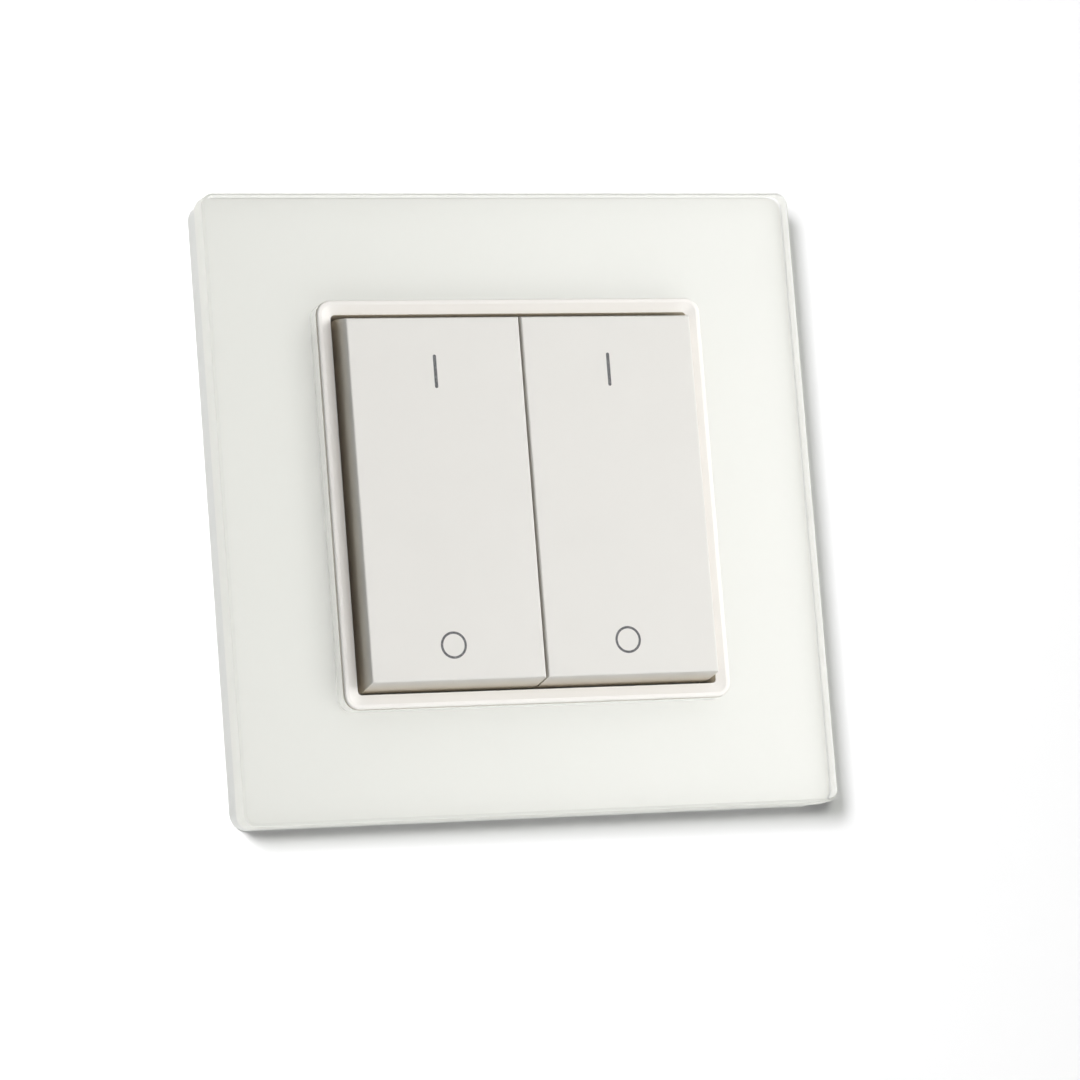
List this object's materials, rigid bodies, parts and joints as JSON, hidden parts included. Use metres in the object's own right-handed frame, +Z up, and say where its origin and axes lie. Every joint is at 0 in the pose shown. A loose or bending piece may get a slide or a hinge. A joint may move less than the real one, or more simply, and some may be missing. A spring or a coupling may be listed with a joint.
{
  "type": "wireless push button switch",
  "caption": "Flat square wall switch: glass cover plate, white raised rim and two tilting rockers marked I and O over a kinetic radio module.",
  "frame": {"origin": "centre of the wall face, the flat back that lies on the wall", "axes": "+Z up the wall, +X to the right as the user sees it, +Y into the wall; the buttons face -Y"},
  "size_m": [0.0844, 0.0114, 0.0844],
  "materials": {
    "clear_glass": "polished clear plate with ground edges",
    "white_sheet": "white adhesive sheet",
    "carrier_plastic": "smooth moulded white",
    "rim_plastic": "smooth moulded warm white",
    "rocker_plastic": "satin moulded warm white",
    "plate_plastic": "moulded light grey",
    "pad_foam": "foam with adhesive on both faces",
    "module_plastic": "moulded pale grey",
    "lever_plastic": "glass-filled moulded black",
    "steel": "bright spring and pin steel",
    "soft_iron": "plain stamped iron",
    "magnet_nickel": "nickel plated",
    "copper": "enamelled copper",
    "bobbin_plastic": "moulded natural",
    "board_green": "solder resist on glass laminate",
    "chip_black": "moulded resin",
    "tin": "tinned sheet",
    "capacitor_tan": "fired ceramic"
  },
  "bodies": {
    "base": {"cover_glass": "clear_glass", "glass_bonding_sheet": "white_sheet", "frame_carrier": "carrier_plastic", "intermediate_frame": "rim_plastic", "mounting_plate": "plate_plastic", "adhesive_pads": "pad_foam", "module_tray": "module_plastic", "module_cover": "module_plastic", "pivot_pin": "steel", "circuit_board": "board_green", "radio_shield": "tin", "radio_chip": "chip_black", "storage_capacitors": "capacitor_tan", "rectifier_diodes": "chip_black", "quartz_crystal": "tin", "wire_antenna": "copper", "left_iron_core": "soft_iron", "left_coil_bobbin": "bobbin_plastic", "left_coil_winding": "copper", "left_coil_leads": "tin", "left_return_spring": "steel", "right_iron_core": "soft_iron", "right_coil_bobbin": "bobbin_plastic", "right_coil_winding": "copper", "right_coil_leads": "tin", "right_return_spring": "steel"},
    "left_rocker": {"left_rocker": "rocker_plastic"},
    "right_rocker": {"right_rocker": "rocker_plastic"},
    "left_lever": {"left_energy_lever": "lever_plastic", "left_magnet": "magnet_nickel", "left_upper_pole_plate": "soft_iron", "left_lower_pole_plate": "soft_iron"},
    "right_lever": {"right_energy_lever": "lever_plastic", "right_magnet": "magnet_nickel", "right_upper_pole_plate": "soft_iron", "right_lower_pole_plate": "soft_iron"}
  },
  "joints": [
    {"name": "left_rocker_tilt", "type": "hinge", "parent": "base", "child": "left_rocker", "pos_m": [-0.0125, -0.0085, 0], "axis": [1, 0, 0], "range_deg": [-4, 4], "stiffness_Nm_per_rad": 0.15, "deforming": ["left_return_spring"]},
    {"name": "left_lever_tilt", "type": "hinge", "parent": "base", "child": "left_lever", "pos_m": [-0.0101, -0.0039, 0], "axis": [1, 0, 0], "range_deg": [-4, 4]},
    {"name": "right_rocker_tilt", "type": "hinge", "parent": "base", "child": "right_rocker", "pos_m": [0.0125, -0.0085, 0], "axis": [1, 0, 0], "range_deg": [-4, 4], "stiffness_Nm_per_rad": 0.15, "deforming": ["right_return_spring"]},
    {"name": "right_lever_tilt", "type": "hinge", "parent": "base", "child": "right_lever", "pos_m": [0.0101, -0.0039, 0], "axis": [1, 0, 0], "range_deg": [-4, 4]}
  ],
  "couplings": [
    {"joint": "left_lever_tilt", "follows": "left_rocker_tilt", "ratio": 1},
    {"joint": "right_lever_tilt", "follows": "right_rocker_tilt", "ratio": 1}
  ]
}
